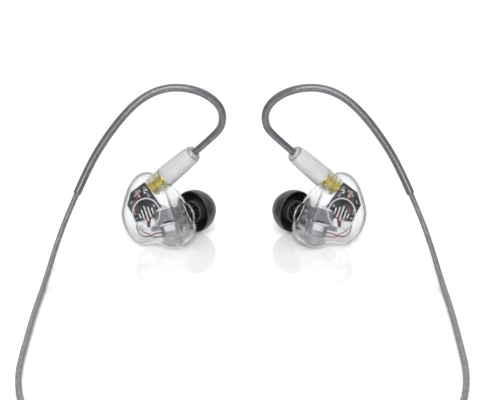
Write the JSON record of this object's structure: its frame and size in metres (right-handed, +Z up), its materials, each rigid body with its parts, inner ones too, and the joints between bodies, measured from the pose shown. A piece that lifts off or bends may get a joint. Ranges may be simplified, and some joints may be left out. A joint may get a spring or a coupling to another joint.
{
  "type": "in ear monitors",
  "caption": "Pair of clear-shell in-ear monitors with black silicone tips, swivelling push-fit cables, moulded grey ear hooks, splitter, coiled braided cord and jack plug.",
  "frame": {"origin": "centre of the base of the two earphones together, on the table they stand on", "axes": "+Z up, +X from the wearer's right monitor to the left one, -Y the side that the clear faceplates look to"},
  "size_m": [0.1102, 0.2489, 0.0482],
  "materials": {
    "clear_shell": "polished clear acrylic",
    "gold": "gold-plated brass",
    "white_plastic": "white moulded plastic and adhesive",
    "board": "black solder mask on glass-fibre board",
    "solder": "tinned solder and chip parts",
    "driver_metal": "satin nickel-plated steel can",
    "clear_tube": "clear silicone tube",
    "wire_enamel": "red and copper enamelled wire",
    "steel_screen": "fine woven steel mesh",
    "tip_silicone": "smooth black silicone",
    "boot_plastic": "frosted light grey plastic",
    "hook_sleeve": "ribbed grey elastomer",
    "braid": "braided grey insulated wire",
    "strap": "black hook-and-loop tape",
    "plug_rubber": "soft moulded rubber",
    "plug_metal": "knurled anodised aluminium",
    "black_plastic": "black moulded plastic"
  },
  "bodies": {
    "cable": {"right_plug_body": "gold", "right_plug_insulator": "white_plastic", "right_plug_pin": "gold", "right_boot": "boot_plastic", "right_ear_hook": "hook_sleeve", "right_leg_cord": "braid", "left_plug_body": "gold", "left_plug_insulator": "white_plastic", "left_plug_pin": "gold", "left_boot": "boot_plastic", "left_ear_hook": "hook_sleeve", "left_leg_cord": "braid", "splitter": "hook_sleeve", "main_cord": "braid", "cord_coil": "braid", "coil_tie": "strap", "plug_cord": "braid", "plug_relief": "plug_rubber", "plug_grip": "plug_metal", "jack_sleeve": "gold", "jack_ring": "gold", "jack_tip": "gold", "jack_insulators": "black_plastic"},
    "right_snap": {"right_snap_ring": "gold"},
    "right_earphone": {"right_shell": "clear_shell", "right_faceplate": "clear_shell", "right_socket": "gold", "right_socket_insulator": "white_plastic", "right_socket_contact": "gold", "right_crossover_board": "board", "right_crossover_parts": "solder", "right_low_driver": "driver_metal", "right_mid_driver": "driver_metal", "right_high_driver": "driver_metal", "right_driver_cradle": "white_plastic", "right_sound_tubes": "clear_tube", "right_driver_wires": "wire_enamel", "right_dampers": "white_plastic", "right_nozzle_screen": "steel_screen"},
    "right_tip": {"right_ear_tip": "tip_silicone"},
    "left_snap": {"left_snap_ring": "gold"},
    "left_earphone": {"left_shell": "clear_shell", "left_faceplate": "clear_shell", "left_socket": "gold", "left_socket_insulator": "white_plastic", "left_socket_contact": "gold", "left_crossover_board": "board", "left_crossover_parts": "solder", "left_low_driver": "driver_metal", "left_mid_driver": "driver_metal", "left_high_driver": "driver_metal", "left_driver_cradle": "white_plastic", "left_sound_tubes": "clear_tube", "left_driver_wires": "wire_enamel", "left_dampers": "white_plastic", "left_nozzle_screen": "steel_screen"},
    "left_tip": {"left_ear_tip": "tip_silicone"},
    "chin": {"chin_slider": "boot_plastic"}
  },
  "joints": [
    {"name": "right_swivel", "type": "hinge", "parent": "cable", "child": "right_snap", "pos_m": [-0.02364, 0.00013, 0.01847], "axis": [0.743, -0.0812, 0.6643], "range_deg": [-149, 149]},
    {"name": "right_unplug", "type": "slide", "parent": "right_snap", "child": "right_earphone", "axis": [-0.743, 0.0812, -0.6643], "range_m": [0, 0.006]},
    {"name": "right_tip_pull", "type": "slide", "parent": "right_earphone", "child": "right_tip", "axis": [0.6325, 0.7745, 0.005], "range_m": [0, 0.006]},
    {"name": "left_swivel", "type": "hinge", "parent": "cable", "child": "left_snap", "pos_m": [0.02364, 0.00013, 0.01847], "axis": [-0.743, -0.0812, 0.6643], "range_deg": [-149, 149]},
    {"name": "left_unplug", "type": "slide", "parent": "left_snap", "child": "left_earphone", "axis": [0.743, 0.0812, -0.6643], "range_m": [0, 0.006]},
    {"name": "left_tip_pull", "type": "slide", "parent": "left_earphone", "child": "left_tip", "axis": [-0.6325, 0.7745, 0.005], "range_m": [0, 0.006]},
    {"name": "chin_slide", "type": "slide", "parent": "cable", "child": "chin", "axis": [0, 1, 0], "range_m": [0, 0.008]}
  ]
}
